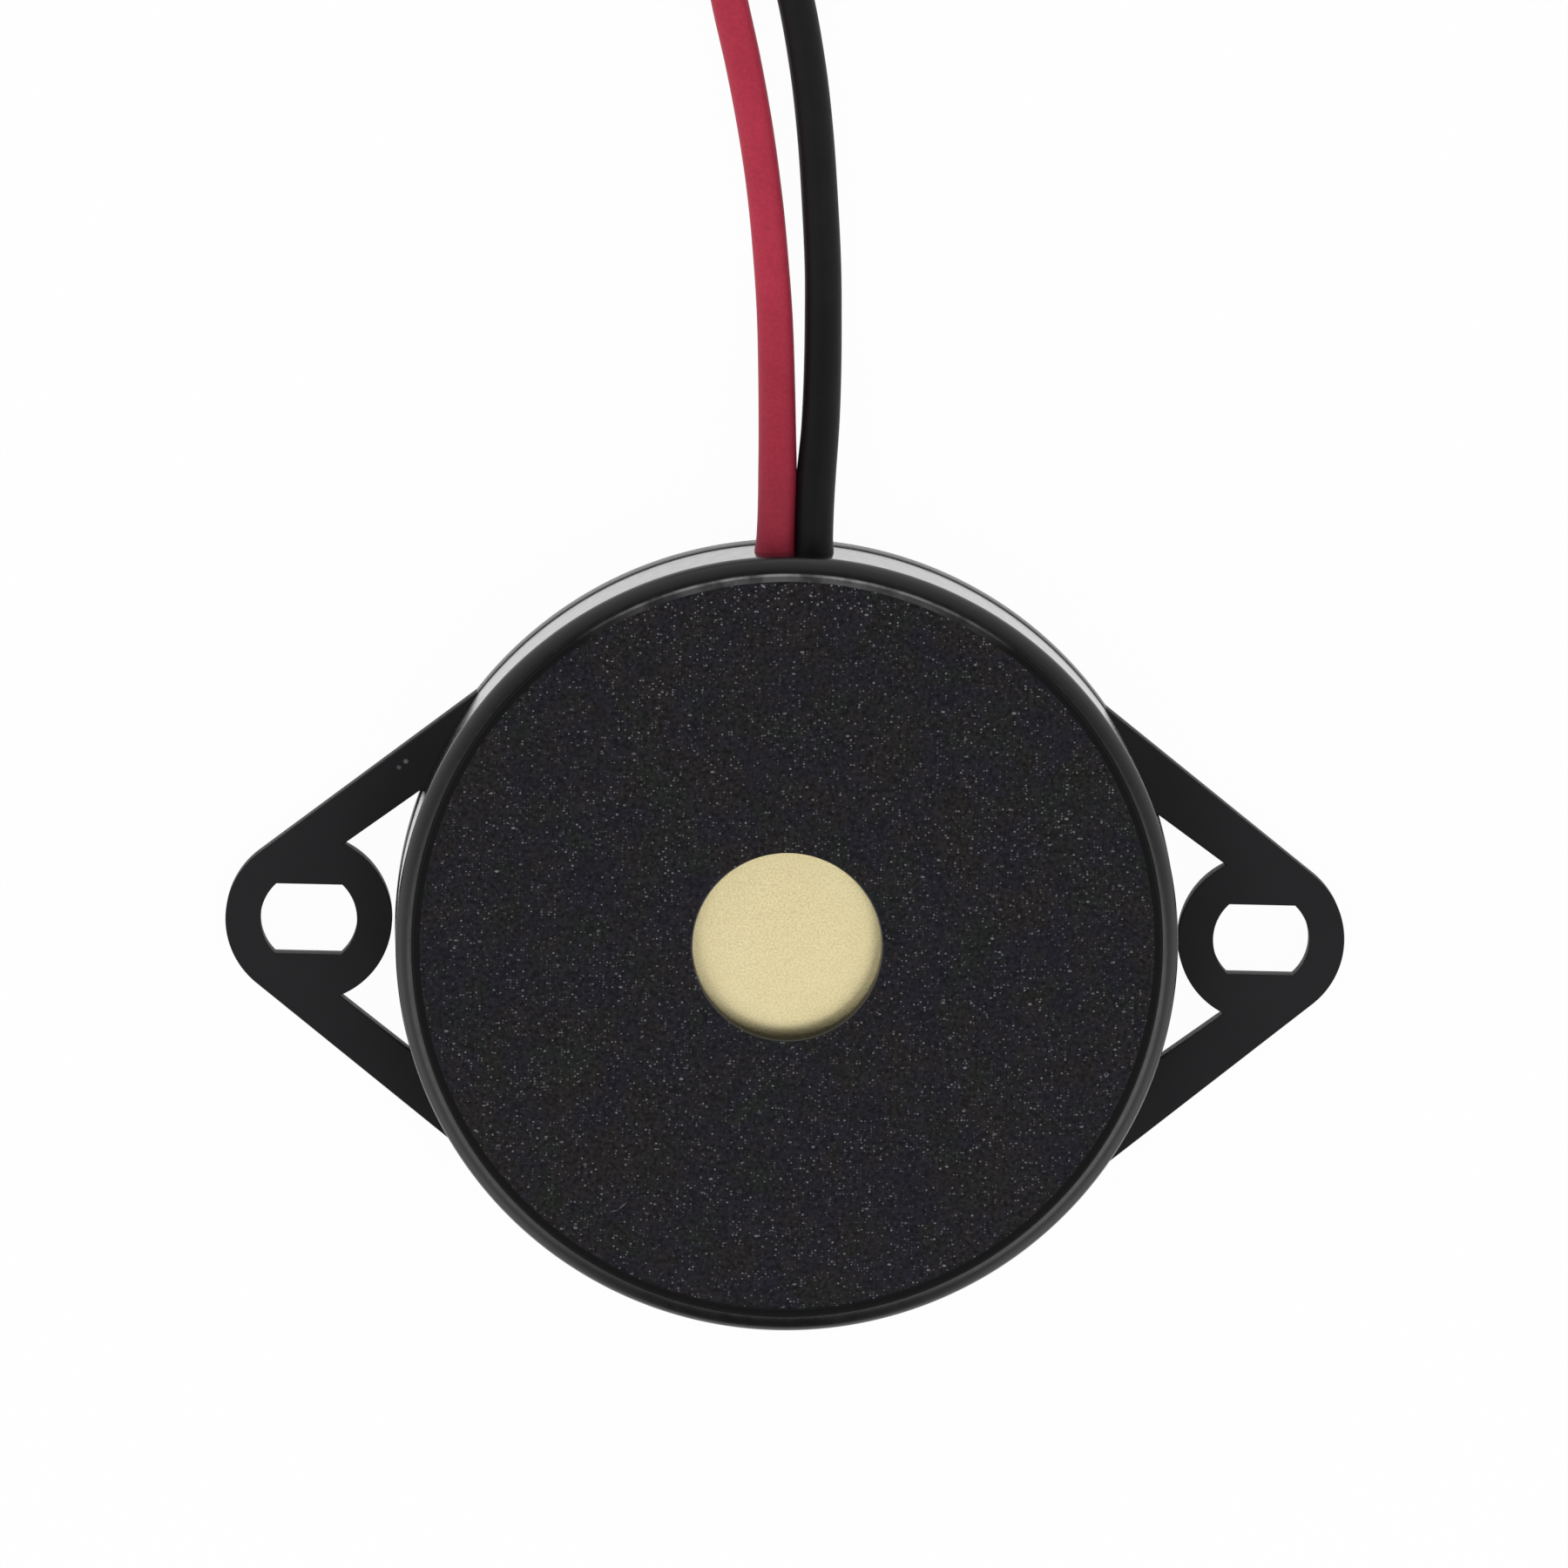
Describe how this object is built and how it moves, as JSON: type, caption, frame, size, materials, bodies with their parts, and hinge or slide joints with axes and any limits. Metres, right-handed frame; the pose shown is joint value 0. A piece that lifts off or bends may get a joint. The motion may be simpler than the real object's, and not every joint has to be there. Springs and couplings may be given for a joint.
{
  "type": "piezo buzzer",
  "caption": "Round black cased piezo buzzer with a central sound hole over a brass disc, a mounting ear on each side, and a red and a black lead.",
  "frame": {"origin": "centre of the flat back of the case, on the plane of the ears' back faces", "axes": "+Z out through the sound hole, +X through the two ears, +Y towards the side where the leads leave"},
  "size_m": [0.043, 0.0706, 0.0055],
  "materials": {
    "case_black": "spark-eroded matte on the face, smooth and glossy on the side wall",
    "disc_brass": "satin",
    "ceramic_silvered": "fired silver, matte",
    "adhesive_white": "cured, slightly glossy",
    "solder_tin": "bright tinned",
    "insulation_red": "soft satin",
    "insulation_black": "soft satin"
  },
  "bodies": {
    "root": {"housing": "case_black", "back_cover": "case_black", "brass_disc": "disc_brass", "piezo_ceramic": "ceramic_silvered", "disc_adhesive": "adhesive_white", "lead_glue": "adhesive_white", "red_solder": "solder_tin", "black_solder": "solder_tin", "red_inner_strand": "solder_tin", "black_inner_strand": "solder_tin", "red_lead": "insulation_red", "black_lead": "insulation_black", "red_coil": "insulation_red", "black_coil": "insulation_black", "red_tinned_end": "solder_tin", "black_tinned_end": "solder_tin"}
  },
  "joints": []
}
